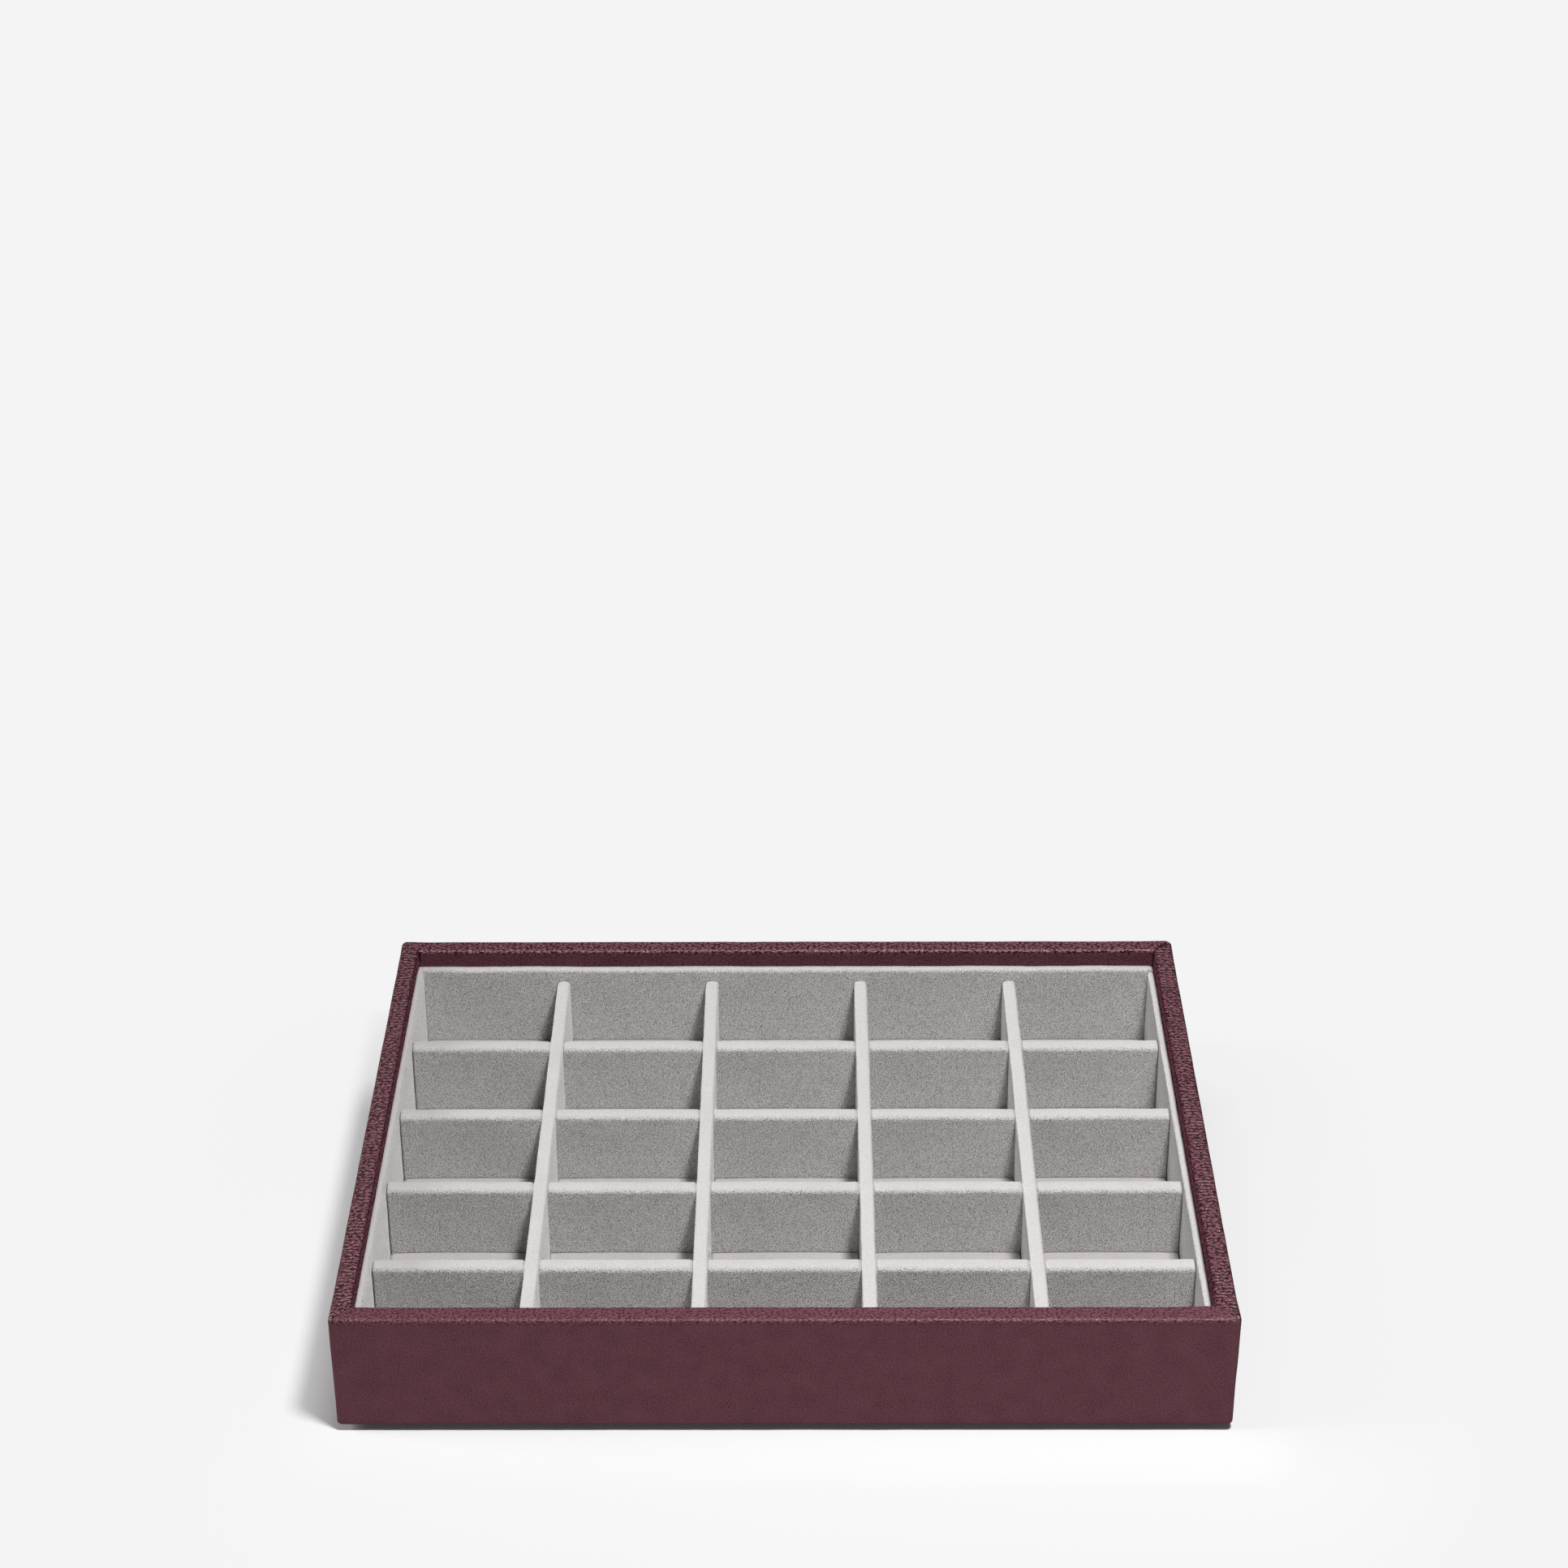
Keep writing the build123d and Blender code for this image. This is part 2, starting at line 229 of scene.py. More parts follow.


# Polyurethane leatherette, embossed with a pebble grain: low satin domes of 1.4 mm that run together into
# broken rows, matt valleys between them that are painted dark as shade in the creases, and fine wrinkles.
# Pressed flatter it looks plain and dull, and where it is bent over an edge it shines. It reads the wrap's
# own map in metres and the marks of makeWrap, one of which darkens the seams and paints shade or light on the
# walls, lips and rim.
def makeLeatherette():
    material, tree = newMaterial("embossedLeatherette")
    wrap = addNode(tree, "UVMap", uv_map="wrap").outputs["UV"]
    drift = addNode(tree, "TexNoise", {"Vector": wrap, "Scale": 1 / (grain["warp"] * mm), "Detail": 2.0},
                    noise_dimensions="2D")
    centred = addNode(tree, "VectorMath", {0: drift.outputs["Color"], 1: (0.5, 0.5, 0.5)},
                      operation="SUBTRACT")
    reach = grain["warpBy"] * mm
    moved = addNode(tree, "VectorMath", {0: centred, 1: (reach, reach, 0.0), 2: wrap},
                    operation="MULTIPLY_ADD")
    drawn = addNode(tree, "Mapping", {"Vector": moved, "Scale": (1 / grain["stretch"], 1.0, 1.0)})
    cells = addNode(tree, "TexVoronoi", {
        "Vector": drawn, "Scale": 1 / (grain["pebble"] * mm), "Randomness": grain["unlike"]},
        voronoi_dimensions="2D", feature="DISTANCE_TO_EDGE")
    dome = addNode(tree, "MapRange", {"Value": cells.outputs["Distance"], "From Max": grain["crease"]},
                   interpolation_type="SMOOTHSTEP")
    wrinkles = addNode(tree, "TexNoise", {"Vector": wrap, "Scale": 1 / (grain["wrinkle"] * mm),
                                          "Detail": 2.0, "Roughness": 0.6}, noise_dimensions="2D")
    patches = addNode(tree, "TexNoise", {"Vector": drawn, "Scale": 1 / (grain["patch"] * mm),
                                         "Detail": 0.0}, noise_dimensions="2D")
    patchy = addNode(tree, "MapRange", {
        "Value": patches.outputs["Fac"], "To Min": grain["deep"], "To Max": grain["faint"],
        "From Min": grain["patchRange"][0], "From Max": grain["patchRange"][1]})
    rows = addNode(tree, "TexWave", {
        "Vector": wrap, "Scale": waveRows / (grain["rows"] * mm), "Distortion": grain["rowBend"],
        "Detail": 1.0, "Detail Scale": grain["rowBreaks"]}, bands_direction="Y")
    rowing = addNode(tree, "Attribute", attribute_name="rowing")
    blend = addNode(tree, "Mix", {0: rowing.outputs["Fac"], 2: dome, 3: rows.outputs["Fac"]})
    between = addNode(tree, "Math", {0: 1.0, 1: blend}, operation="SUBTRACT")
    sunken = addNode(tree, "Math", {0: between, 1: patchy}, operation="MULTIPLY")
    risen = addNode(tree, "Math", {0: 1.0, 1: sunken}, operation="SUBTRACT")
    height = addNode(tree, "Math", {0: wrinkles.outputs["Fac"], 1: grain["wrinkleHeight"],
                                    2: risen}, operation="MULTIPLY_ADD")
    relief = addNode(tree, "Attribute", attribute_name="relief")
    bump = addNode(tree, "Bump", {"Height": height, "Strength": relief.outputs["Fac"],
                                  "Distance": grain["bumpHeight"] * mm})
    # painted shade: the colour darkens towards the valley colour where the grain sinks into its creases
    creaseShade = addNode(tree, "Math", {0: sunken, 1: relief.outputs["Fac"]}, operation="MULTIPLY")
    ramp = addNode(tree, "ValToRGB", {"Fac": creaseShade})
    setRamp(ramp, list(zip(grain["creaseShadeRange"], (grain["skin"], grain["valley"]))))
    mottle = addNode(tree, "TexNoise", {"Vector": wrap, "Scale": 1 / (grain["mottle"] * mm),
                                        "Detail": 3.0}, noise_dimensions="2D")
    shade = addNode(tree, "MapRange", {
        "Value": mottle.outputs["Fac"], "From Min": noiseRange[0], "From Max": noiseRange[1],
        "To Min": grain["mottleTone"][0], "To Max": grain["mottleTone"][1]})
    fine = addNode(tree, "Math", {0: wrinkles.outputs["Fac"], 1: grain["wrinkleTone"],
                                  2: shade}, operation="MULTIPLY_ADD")
    # painted shade and light: the seams' grooves are darkened, and the walls, lips and rim's top get painted
    # shade, or painted light where the mark is under 0
    seamAndShade = addNode(tree, "Attribute", attribute_name="seamAndShade")
    shadedTone = addNode(tree, "Math", {0: seamAndShade.outputs["Fac"], 1: -grain["seamAndShadeDepth"],
                                    2: fine}, operation="MULTIPLY_ADD")
    tone = addNode(tree, "VectorMath", {0: ramp.outputs["Color"], "Scale": shadedTone}, operation="SCALE")
    polish = addNode(tree, "Attribute", attribute_name="polish")
    shine = addNode(tree, "Math", {0: polish.outputs["Fac"], 1: grain["shine"]}, operation="MULTIPLY")
    shader = addNode(tree, "BsdfPrincipled", {
        "Base Color": tone, "Roughness": grain["roughness"], "IOR": 1.5,
        "Specular IOR Level": shine, "Specular Tint": hexColour(grain["shineTint"]),
        "Normal": bump})
    addNode(tree, "OutputMaterial", {"Surface": shader})
    return material


pile = {
    # sizes in mm; fibres are drawn coarser than real ones, as coarse as they need to show
    "tuft": 0.26, "fibre": 0.13, "fibreHeight": 0.4, "bumpHeight": 0.3,
    "askew": (0.6, 0.4, 0.8),  # in radians
    "dark": "#7f7a77", "mid": "#c6c3c2", "light": "#dddddd", "rampStops": (0.3, 0.5, 0.7),
    "upRange": (0.35, 0.95),  # faces turn from upright to level between these upward shares of their normal
    # after onTop come painted shade: the tone of faces that look up, and how much darker the floor pad is
    # drawn
    "onTop": 0.22, "topShade": 0.86, "floorShadeStep": 0.1,
    "strokes": 14.0, "strokeTone": (0.97, 1.02), "rows": 5.652, "rowBend": 1.5, "rowTone": 0.02,
    "foldReach": 0.6, "foldRange": (0.1, 0.6), "foldShade": 0.45,
    "roughness": 0.95, "specular": 0.15, "sheen": "#d4d2d1", "sheenRoughness": 0.27,
}


# Short-pile flocked velvet: a matt face whose tufts of about 0.26 mm stand apart as light and dark specks
# on upright faces, and close up to an even pale grey where the pile points up, painted a little darker there
# as shade. Painted shade darkens it in a thin line wherever two faces meet and on the floor between the
# dividers, the long dividers are drawn a little lighter, and its tips catch a soft sheen.
def makeVelvet():
    material, tree = newMaterial("shortPileVelvet")
    place = addNode(tree, "TexCoord").outputs["Object"]
    # turned askew, because noise fades out on faces that lie along its own grid
    askew = addNode(tree, "Mapping", {"Vector": place, "Rotation": pile["askew"]})
    tufts = addNode(tree, "TexNoise", {"Vector": askew, "Scale": 1 / (pile["tuft"] * mm), "Detail": 0.0})
    fibres = addNode(tree, "TexNoise", {"Vector": askew, "Scale": 1 / (pile["fibre"] * mm), "Detail": 1.0})
    brushed = addNode(tree, "TexNoise", {
        "Vector": place, "Scale": 1 / (pile["strokes"] * mm), "Detail": 3.0})
    rows = addNode(tree, "TexWave", {
        "Vector": place, "Scale": waveRows / (pile["rows"] * mm), "Distortion": pile["rowBend"],
        "Detail": 1.0}, bands_direction="Z")
    facing = addNode(tree, "NewGeometry").outputs["True Normal"]
    upward = addNode(tree, "SeparateXYZ", {"Vector": facing}).outputs["Z"]
    upright, level = pile["upRange"]
    speck = addNode(tree, "MapRange", {"Value": upward, "From Min": upright, "From Max": level,
                                       "To Min": 1.0, "To Max": pile["onTop"]})
    centred = addNode(tree, "Math", {0: tufts.outputs["Fac"], 1: 0.5}, operation="SUBTRACT")
    swing = addNode(tree, "Math", {0: centred, 1: speck, 2: 0.5}, operation="MULTIPLY_ADD")
    ramp = addNode(tree, "ValToRGB", {"Fac": swing})
    setRamp(ramp, list(zip(pile["rampStops"], (pile["dark"], pile["mid"], pile["light"]))))
    stroke = addNode(tree, "MapRange", {
        "Value": brushed.outputs["Fac"], "From Min": noiseRange[0], "From Max": noiseRange[1],
        "To Min": pile["strokeTone"][0], "To Max": pile["strokeTone"][1]})
    woven = addNode(tree, "Math", {0: rows.outputs["Fac"], 1: pile["rowTone"], 2: stroke},
                    operation="MULTIPLY_ADD")
    # painted shade: faces that look up are drawn darker
    topShaded = addNode(tree, "MapRange", {"Value": upward, "From Min": upright, "From Max": level,
                                       "To Min": 1.0, "To Max": pile["topShade"]})
    # a mark that is 1 on the floor pad, drawn darker as painted shade down between the dividers, and under 0
    # on the long dividers, which are drawn a little lighter
    floorShadeLongLift = addNode(tree, "Attribute", attribute_name="floorShadeLongLift")
    padShaded = addNode(tree, "Math", {0: floorShadeLongLift.outputs["Fac"], 1: -pile["floorShadeStep"], 2: topShaded},
                      operation="MULTIPLY_ADD")
    wovenAndShaded = addNode(tree, "Math", {0: padShaded, 1: woven}, operation="MULTIPLY")
    tone = addNode(tree, "VectorMath", {0: ramp.outputs["Color"], "Scale": wovenAndShaded}, operation="SCALE")
    # painted shade: ambient occlusion darkens the colour where two faces meet, so every fold has a thin dark
    # line
    fold = addNode(tree, "AmbientOcclusion", {"Distance": pile["foldReach"] * mm}, samples=6)
    folded = addNode(tree, "MapRange", {
        "Value": fold.outputs["AO"], "From Min": pile["foldRange"][0], "From Max": pile["foldRange"][1],
        "To Min": pile["foldShade"], "To Max": 1.0})
    shaded = addNode(tree, "VectorMath", {0: tone, "Scale": folded}, operation="SCALE")
    height = addNode(tree, "Math", {0: fibres.outputs["Fac"], 1: pile["fibreHeight"],
                                    2: swing}, operation="MULTIPLY_ADD")
    bump = addNode(tree, "Bump", {"Height": height, "Strength": 0.9, "Distance": pile["bumpHeight"] * mm})
    shader = addNode(tree, "BsdfPrincipled", {
        "Base Color": shaded, "Roughness": pile["roughness"], "IOR": 1.5,
        "Specular IOR Level": pile["specular"], "Sheen Weight": 1.0, "Sheen Tint": hexColour(pile["sheen"]),
        "Sheen Roughness": pile["sheenRoughness"], "Normal": bump})
    addNode(tree, "OutputMaterial", {"Surface": shader})
    return material


boards = {
    # name, dark and light of the fibres, their size in mm, length over width, roughness
    "rawFibreboard": ("#8a7152", "#b2936b", 0.6, 3.0, 0.85),  # pressed wood fibre, a brown felted fleck
    "greyPaperboard": ("#7d7a76", "#9d9993", 0.5, 2.0, 0.9),  # recycled paper pulp, grey with dark flecks
    "shadeDarkFibreboard": ("#1d1b1b", "#2b2828", 0.6, 3.0, 0.8),  # the plinth's edges, painted near-black as the shade in the gap under the walls
    "needleFelt": ("#221d1f", "#352e31", 0.35, 1.0, 1.0),  # dark short-fibre felt under the tray
    "softFoam": ("#d8d5cc", "#efece4", 0.9, 1.0, 0.95),  # open-cell foam, pale with small pores
}
fleck = {"rampStops": (0.32, 0.68), "bumpHeight": 0.08, "specular": 0.25}  # the same for all of them


def makeFibrous(name):
    dark, light, size, stretch, roughness = boards[name]
    material, tree = newMaterial(name)
    place = addNode(tree, "TexCoord").outputs["Object"]
    drawn = addNode(tree, "Mapping", {"Vector": place, "Scale": (1 / stretch, 1.0, 1.0)})
    flecks = addNode(tree, "TexNoise", {"Vector": drawn, "Scale": 1 / (size * mm),
                                        "Detail": 4.0, "Roughness": 0.65})
    ramp = addNode(tree, "ValToRGB", {"Fac": flecks.outputs["Fac"]})
    setRamp(ramp, list(zip(fleck["rampStops"], (dark, light))))
    bump = addNode(tree, "Bump", {"Height": flecks.outputs["Fac"], "Strength": 0.5,
                                  "Distance": fleck["bumpHeight"] * mm})
    shader = addNode(tree, "BsdfPrincipled", {
        "Base Color": ramp.outputs["Color"], "Roughness": roughness, "Specular IOR Level": fleck["specular"],
        "Normal": bump})
    addNode(tree, "OutputMaterial", {"Surface": shader})
    return material


leatherette = makeLeatherette()
velvet = makeVelvet()
fibrous = {name: makeFibrous(name) for name in boards}
print("materials:", 2 + len(fibrous))


def finishPiece(name, mesh, material, slotName, *nodes):
    mesh.materials.append(material)
    mesh.polygons.foreach_set("use_smooth", np.ones(len(mesh.polygons), bool))
    mesh.update()
    piece = bpy.data.objects.new(name, mesh)
    bpy.context.collection.objects.link(piece)
    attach(piece, "root")
    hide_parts(*nodes)
    return piece


def meshFrom(name, points, faces):
    mesh = bpy.data.meshes.new(name)
    mesh.from_pydata((points.reshape(-1, 3) * mm).tolist(), [], faces.tolist())
    return mesh


def writeMark(mesh, name, values):
    mark = mesh.attributes.new(name, "FLOAT", "POINT")
    mark.data.foreach_set("value", values.reshape(-1).astype(np.float32))


# quads of a rows by columns grid of vertices: each joins a vertex to the next in its row and column
def gridFaces(rows, columns, closeRows=False, closeColumns=False):
    row = np.arange(rows if closeRows else rows - 1)[:, None]
    column = np.arange(columns if closeColumns else columns - 1)[None, :]
    nextRow, nextColumn = (row + 1) % rows * columns, (column + 1) % columns
    row = row * columns
    quads = [row + column, row + nextColumn, nextRow + nextColumn, nextRow + column]
    return np.stack(quads, -1).reshape(-1, 4)


# Sum of sines over two coordinates in mm, each with its own random direction and phase and a wavelength
# between longest and shortest, scaled to stay within about 1.
def ripple(seed, first, second, longest, shortest, count=9):
    draw = np.random.default_rng(seed)
    total = 0
    for wave in np.geomspace(longest, shortest, count):
        turn, phase = draw.uniform(0, 2 * np.pi, 2)
        total = total + np.sin(2 * np.pi * (first * np.cos(turn) + second * np.sin(turn)) / wave + phase)
    return total / np.sqrt(count) / 1.6


# from 0 to 1 over the length that follows start: three times the square less twice the cube
def fade(values, start, length):
    share = np.clip((values - start) / length, 0, 1)
    return share * share * (3 - 2 * share)


# a bell curve of the distance, 1 in its middle and 0.37 at its width
def bell(distance, width):
    return np.exp(-(distance / width) ** 2)


# points of an arc from angle start to end in degrees, without its first point
def arc(centre, radius, start, end, count):
    angle = np.radians(np.linspace(start, end, count + 1))[1:]
    return np.stack([centre[0] + radius * np.cos(angle), centre[1] + radius * np.sin(angle)], 1)


# count points from start to end, without start
def line(start, end, count):
    share = np.linspace(0, 1, count + 1)[1:, None]
    return np.array(start) * (1 - share) + np.array(end) * share


wrapShape = {
    # the strip's section in mm; of a pair, fade starts at the first and takes the second
    "thickness": 0.55, "lipBottom": 24.0, "lipMiddle": 33.0, "lipRound": 0.9, "lipDepth": 0.5,
    "rimRound": 1.05, "rimTop": (37.8, 1.8), "foot": 2.2, "footRound": 1.05, "turnedUnder": 6.6,
    "waviness": 0.05, "waves": (70.0, 9.0), "bulgeOver": 4.0,
    # columns stand close together up to this far from a seam, and about columnStep apart past it
    "nearSeam": (0.0, 0.05, 0.1, 0.16, 0.23, 0.32, 0.44, 0.6, 0.8, 1.05, 1.4, 1.9, 2.5),
    "farFromSeam": 3.3, "columnStep": 0.86,
    # a mitre seam's groove, the fray beside it, and the fold that swells towards the corner
    "seamUp": (34.0, 3.0), "seamIn": (0.15, 0.6), "outerPart": 3.2,
    "fray": 0.06, "frayAt": 0.55, "frayWidth": 0.3, "foldWidth": 7.0, "foldUp": (8.0, 30.0),
    # how far the grain stands up and how polished it is
    "relief": {"rim": 1.0, "wall": 0.26, "lip": 0.35}, "polish": {"rim": 0.5, "wall": 0.15, "lip": 0.0},
    # wallShade is painted shade on the walls below the rim
    "outerPolish": 1.5, "wallShade": 0.26, "offRimRows": 0.4,
    "corners": {
        # in mm: radius, the seam's width, its depth on the rim's outer and inner part, the fold's swelling
        "frontRight": {"round": 1.5, "seamWidth": 0.2, "outerDepth": 0.25, "innerDepth": 0.25, "fold": 0.35},
        "backRight": {"round": 2.0, "seamWidth": 0.48, "outerDepth": 0.5, "innerDepth": 0.25, "fold": 0.1},
        "backLeft": {"round": 1.5, "seamWidth": 0.32, "outerDepth": 0.4, "innerDepth": 0.4, "fold": 0.12},
        "frontLeft": {"round": 1.5, "seamWidth": 0.32, "outerDepth": 0.5, "innerDepth": 0.2, "fold": 0.15},
    },
    "walls": {
        # which way each wall looks and runs, and how its lip stands out; relief and polish are times those
        # above, finer is how much smaller the grain is, and lipShade and topShade paint shade on the lip and
        # the rim's top, or painted light where under 0
        "front": {"normal": (0, -1), "along": (1, 0), "corners": ("frontLeft", "frontRight"),
                  "lipBulge": 0.05, "bulgeFrom": 34.6, "relief": 0.52, "lipRelief": 1.0, "finer": 1.35,
                  "polish": 0.38, "rowShare": 0.1, "lipShade": 0.34, "topShade": 0.3},
        "right": {"normal": (1, 0), "along": (0, 1), "corners": ("frontRight", "backRight"),
                  "lipBulge": 0.15, "bulgeFrom": 34.6, "relief": 1.2, "lipRelief": 1.9, "finer": 1.06,
                  "polish": 1.4, "rowShare": 0.47, "lipShade": -0.35, "topShade": -0.01},
        "back": {"normal": (0, 1), "along": (-1, 0), "corners": ("backRight", "backLeft"),
                 "lipBulge": 0.05, "bulgeFrom": 34.6, "relief": 0.88, "lipRelief": 1.0, "finer": 1.15,
                 "polish": 0.75, "rowShare": 0.22, "lipShade": 0.34, "topShade": 0.0},
        "left": {"normal": (-1, 0), "along": (0, -1), "corners": ("backLeft", "frontLeft"),
                 "lipBulge": -0.4, "bulgeFrom": 24.5, "relief": 1.2, "lipRelief": 1.9, "finer": 1.06,
                 "polish": 1.5, "rowShare": 0.47, "lipShade": -0.6, "topShade": -0.04},
    },
}


# The strip's closed section as (inward, up): up the lip, over the rim, down the outside, under the foot, and
# back up inside, one thickness further in.
def wrapProfile():
    shape, top, wall = wrapShape, tray["height"], tray["wall"]
    thin, lip, rim, foot = shape["thickness"], shape["lipRound"], shape["rimRound"], shape["footRound"]
    lipBottom, lipMiddle = shape["lipBottom"], shape["lipMiddle"]
    under, turned = shape["foot"], shape["turnedUnder"]
    outside = np.concatenate([
        np.array([[wall, lipBottom]]),
        line((wall, lipBottom), (wall, lipMiddle), 3), line((wall, lipMiddle), (wall, top - lip), 8),
        arc((wall - lip, top - lip), lip, 0, 90, 8), line((wall - lip, top), (rim, top), 7),
        arc((rim, top - rim), rim, 90, 180, 10), line((0, top - rim), (0, under + foot), 26),
        arc((foot, under + foot), foot, 180, 270, 6), line((foot, under), (turned, under), 4)])
    inside = np.concatenate([
        np.array([[turned, under + thin], [foot, under + thin]]),
        arc((foot, under + foot), foot - thin, 270, 180, 2), line((thin, under + foot), (thin, top - rim), 3),
        arc((rim, top - rim), rim - thin, 180, 90, 2), np.array([[wall - lip, top - thin]]),
        arc((wall - lip, top - lip), lip - thin, 90, 0, 2), np.array([[wall - thin, lipBottom]])])
    return outside, inside


# What all walls share on each row of the section: its place, its normal, which is the tangent turned by a
# right angle, the way travelled, and whether it lies on the rim's top, on the lip or on the shown side.
def wrapSection():
    outside, inside = wrapProfile()
    profile = np.concatenate([outside, inside])
    tangent = np.roll(profile, -1, 0) - np.roll(profile, 1, 0)
    tangent /= np.linalg.norm(tangent, axis=1, keepdims=True)
    step = np.linalg.norm(np.diff(profile, axis=0), axis=1)
    inward, up = profile[:, :1], profile[:, 1:]
    return {"inward": inward, "up": up, "normalOut": -tangent[:, 1:], "normalUp": -tangent[:, :1],
            "travelled": np.concatenate([[0], np.cumsum(step)])[:, None],
            "onTop": fade(up, *wrapShape["rimTop"]), "onLip": inward > tray["wall"] - wrapShape["lipDepth"],
            "onShow": np.concatenate([np.ones(len(outside)), np.zeros(len(inside))])[:, None]}


# distances along half a wall as shares, from the corner's seam (0) to the middle (1): crowded at the seam
def columnShares(length):
    far = wrapShape["farFromSeam"]
    steps = np.linspace(far, length, int((length - far) / wrapShape["columnStep"]))
    return np.concatenate([wrapShape["nearSeam"], steps]) / length


# Half a wall, on the side of its middle that sign says. Each row runs straight and then round an eighth of a
# circle to the seam, with the corner's radius less the row's depth inwards and never under 0. It rises by
# the fold's swelling and the fray, less the groove, which are bell curves of the distance from the seam.
def halfWall(corner, sign, shares, section, halfLength, halfWidth):
    shape, inward, up = wrapShape, section["inward"], section["up"]
    radius = np.maximum(corner["round"] - inward, 0)
    quarter = radius * np.pi / 4
    straight = halfLength - inward - radius
    reach = straight + quarter
    fromSeam = shares[None, :] * reach
    onArc = fromSeam < quarter
    angle = np.where(onArc, np.pi / 4 - fromSeam / np.maximum(radius, 1e-6), 0)
    angle = np.where((radius < 1e-6) & (fromSeam < 1e-9), np.pi / 4, angle)
    sideways = np.where(onArc, straight + radius * np.sin(angle), straight - (fromSeam - quarter))
    outwards = np.where(onArc, halfWidth - inward - radius + radius * np.cos(angle), halfWidth - inward)
    covered = fade(up, *shape["seamUp"]) * fade(inward, *shape["seamIn"])
    seamAndShade = bell(fromSeam, corner["seamWidth"]) * covered
    groove = np.where(inward < shape["outerPart"], corner["outerDepth"], corner["innerDepth"]) * seamAndShade
    frayed = shape["fray"] * bell(fromSeam - shape["frayAt"], shape["frayWidth"]) * covered
    swelling = corner["fold"] * bell(fromSeam, shape["foldWidth"]) * fade(up, *shape["foldUp"])
    return {"sideways": sign * sideways, "outwards": outwards, "turnAlong": sign * np.sin(angle),
            "turnOut": np.cos(angle), "rise": frayed + swelling - groove, "seamAndShade": seamAndShade,
            "position": sign * (reach - fromSeam), "fromSeam": fromSeam}


# One wall of the strip, from seam to seam: its points, its marks, its map and where it ends on the unrolled
# strip, on which it starts at start. Its points move along the normal by a slow ripple, by what halfWall
# says, and where the lip stands out.
def wrapWall(wall, section, start):
    shape = wrapShape
    inward, up, onTop, onLip = (section[key] for key in ("inward", "up", "onTop", "onLip"))
    normalOut, normalUp, onShow = section["normalOut"], section["normalUp"], section["onShow"]
    normal, along = np.array(wall["normal"]), np.array(wall["along"])
    onSide = normal[0] != 0  # the left or the right wall
    width, depth = tray["width"] / 2, tray["depth"] / 2
    halfLength, halfWidth = (depth, width) if onSide else (width, depth)
    first, second = (shape["corners"][name] for name in wall["corners"])
    shares = columnShares(halfLength)
    before = halfWall(first, -1, shares, section, halfLength, halfWidth)
    after = halfWall(second, 1, shares[::-1], section, halfLength, halfWidth)
    strip = {key: np.concatenate([before[key], after[key][:, 1:]], 1) for key in before}  # one middle column
    middle = start + halfLength
    end = middle + halfLength - second["round"] * (1 - np.pi / 4)

    sideways, outwards = strip["sideways"][..., None], strip["outwards"][..., None]
    plan = outwards * normal + sideways * along
    planNormal = strip["turnOut"][..., None] * normal + strip["turnAlong"][..., None] * along
    ripples = ripple(5, middle + strip["position"], section["travelled"], *shape["waves"])
    shift = strip["rise"] + ripples * shape["waviness"]
    over = shape["bulgeOver"]
    atLip = onLip * fade(up, wall["bulgeFrom"], over) * fade(strip["fromSeam"], 0, over)
    shift = (shift + wall["lipBulge"] * atLip) * onShow
    points = np.concatenate([plan + (shift * normalOut)[..., None] * planNormal,
                             (up + shift * normalUp)[..., None]], -1)

    # a value for the rim's top, and under it one for the lip or for the rest of the wall
    def zoned(rim, wallFace, lip):
        return rim * onTop + np.where(onLip, lip, wallFace) * (1 - onTop)

    # the grain is pulled flatter on the walls than on the rim and the lip, and the rim's edges are polished
    relief, polish = shape["relief"], shape["polish"]
    edge = 2 * np.abs(normalOut * normalUp)  # 1 where the section slopes by 45 degrees
    onRim = polish["rim"] + (1 - polish["rim"]) * edge
    polished = zoned(onRim, polish["wall"], polish["lip"]) * wall["polish"]
    if onSide:  # there only the top and the outer edge are polished
        polished = polished * np.clip(1 + shape["outerPolish"] * normalOut, 0, 1)
    raised = zoned(relief["rim"], relief["wall"], relief["lip"]) * wall["relief"]
    marks = {"relief": raised * (1 + (wall["lipRelief"] - 1) * onLip * (1 - onTop)),
             "polish": polished,
             # the seams' grooves darken, and the walls, lips and rim's top get painted shade, or painted
             # light where the wall's values are under 0
             "seamAndShade": (strip["seamAndShade"] + zoned(wall["topShade"], shape["wallShade"], wall["lipShade"])) * onShow,
             "rowing": wall["rowShare"] * (shape["offRimRows"] + (1 - shape["offRimRows"]) * onTop)}
    marks = {name: np.broadcast_to(values, shift.shape) for name, values in marks.items()}

    lengthwise = wall["finer"] * (middle + strip["position"])
    crosswise = wall["finer"] * np.broadcast_to(section["travelled"], shift.shape)
    # the grain's length runs along X, so it runs across the strip on the sides
    placed = (crosswise, lengthwise) if onSide else (lengthwise, crosswise)
    return points, marks, np.stack(placed, -1), end


